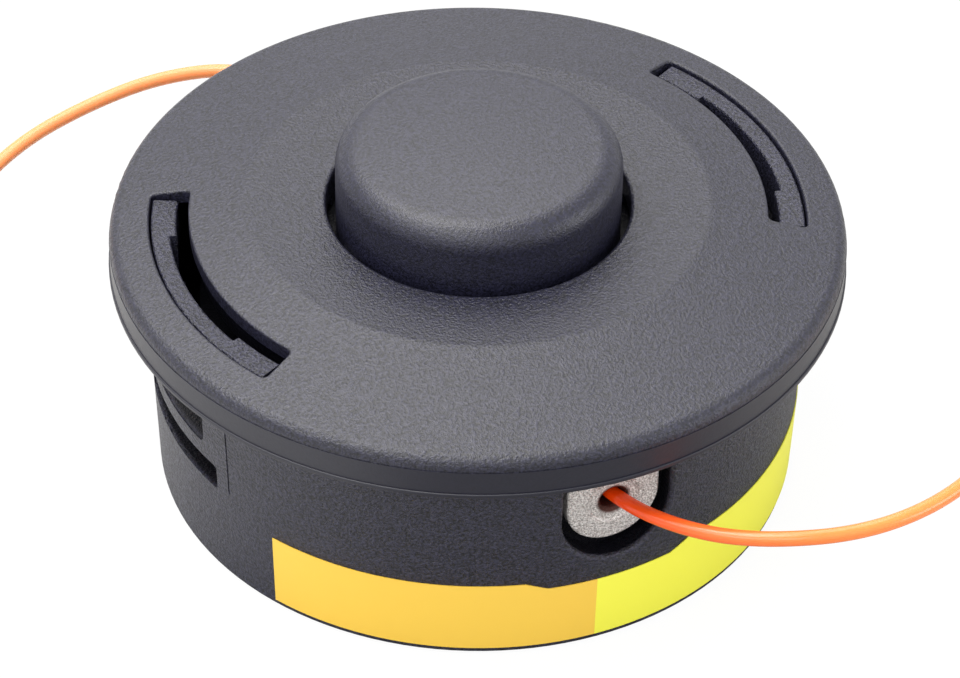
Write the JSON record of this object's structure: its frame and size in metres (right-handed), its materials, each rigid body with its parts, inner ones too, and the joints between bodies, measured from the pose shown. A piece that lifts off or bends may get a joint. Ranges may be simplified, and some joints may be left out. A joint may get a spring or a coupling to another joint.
{
  "type": "bump feed trimmer head",
  "caption": "Round flanged trimmer head with a sprung bump knob on a line spool, latched cover, metal line eyelets, orange line tails and a spindle thread.",
  "frame": {"origin": "centre of the mounting side on the head's axis, on the surface that it stands on", "axes": "+Z along the axis towards the bump knob, line eyelets at -Y and +Y, latch tabs at +X and -X"},
  "size_m": [0.174, 0.1554, 0.062],
  "materials": {
    "housing_nylon": "moulded grain",
    "cover_nylon": "moulded grain",
    "knob_nylon": "moulded grain",
    "eyelet_metal": "bead blasted",
    "steel": "plain",
    "line_nylon": "drawn",
    "label_film": "satin film"
  },
  "bodies": {
    "head": {"housing": "housing_nylon", "cover": "cover_nylon", "threaded_insert": "steel", "eyelet_front": "eyelet_metal", "eyelet_rear": "eyelet_metal", "line_tail_front": "line_nylon", "line_tail_rear": "line_nylon", "label_band": "label_film"},
    "spring": {"feed_spring": "steel"},
    "spool": {"spool_with_bump_knob": "knob_nylon", "line_winding_lower": "line_nylon", "line_winding_upper": "line_nylon"}
  },
  "joints": [
    {"name": "bump_slide", "type": "slide", "parent": "head", "child": "spring", "axis": [0, 0, -1], "range_m": [0, 0.006], "stiffness_N_per_m": 2500, "springref_m": -0.008, "deforming": ["feed_spring"]},
    {"name": "spool_turn", "type": "hinge", "parent": "spring", "child": "spool", "pos_m": [0, 0, 0.03], "axis": [0, 0, 1], "range_deg": [-15, 0]}
  ]
}
